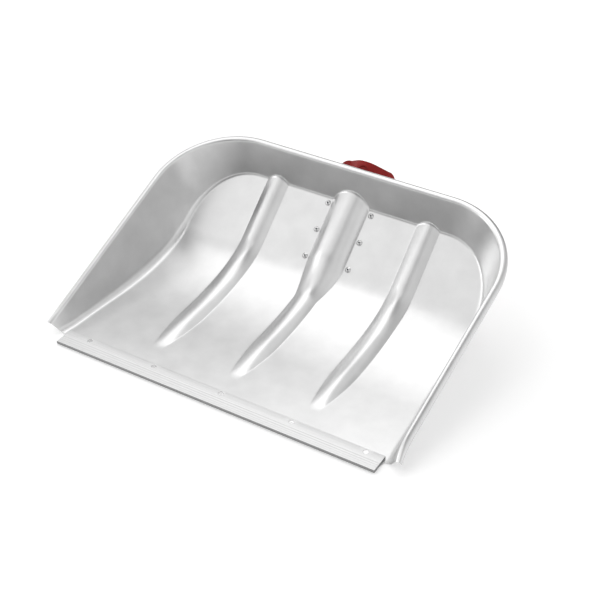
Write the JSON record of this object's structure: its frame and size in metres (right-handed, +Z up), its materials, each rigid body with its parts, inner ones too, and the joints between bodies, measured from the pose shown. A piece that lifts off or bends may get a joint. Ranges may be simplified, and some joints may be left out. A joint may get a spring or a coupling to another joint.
{
  "type": "snow shovel head",
  "caption": "Wide pressed aluminium snow shovel pan with a rolled rim, lengthwise ribs, a riveted wear strip along its front and a moulded socket that takes a round handle.",
  "frame": {"origin": "middle of the floor plan, on the ground that the pan's flat belly lies on", "axes": "+X across the pan to the right seen from the wear strip, +Y from the wear strip back to the handle socket, +Z up"},
  "size_m": [0.5, 0.4076, 0.144],
  "materials": {
    "pan_sheet": "satin rolled sheet, pressed",
    "strip": "drawn, bare",
    "rivet": "bare",
    "steel": "bright zinc",
    "socket": "moulded, fine grain"
  },
  "bodies": {
    "root": {"blade_pan": "pan_sheet", "wear_strip": "strip", "handle_socket": "socket", "strip_rivet_1": "rivet", "strip_rivet_2": "rivet", "strip_rivet_3": "rivet", "strip_rivet_4": "rivet", "strip_rivet_5": "rivet", "socket_rivet_1": "rivet", "rivet_mandrel_1": "steel", "rivet_washer_1": "steel", "socket_rivet_2": "rivet", "rivet_mandrel_2": "steel", "rivet_washer_2": "steel", "socket_rivet_3": "rivet", "rivet_mandrel_3": "steel", "rivet_washer_3": "steel", "socket_rivet_4": "rivet", "rivet_mandrel_4": "steel", "rivet_washer_4": "steel", "socket_rivet_5": "rivet", "rivet_mandrel_5": "steel", "rivet_washer_5": "steel", "socket_rivet_6": "rivet", "rivet_mandrel_6": "steel", "rivet_washer_6": "steel"}
  },
  "joints": []
}
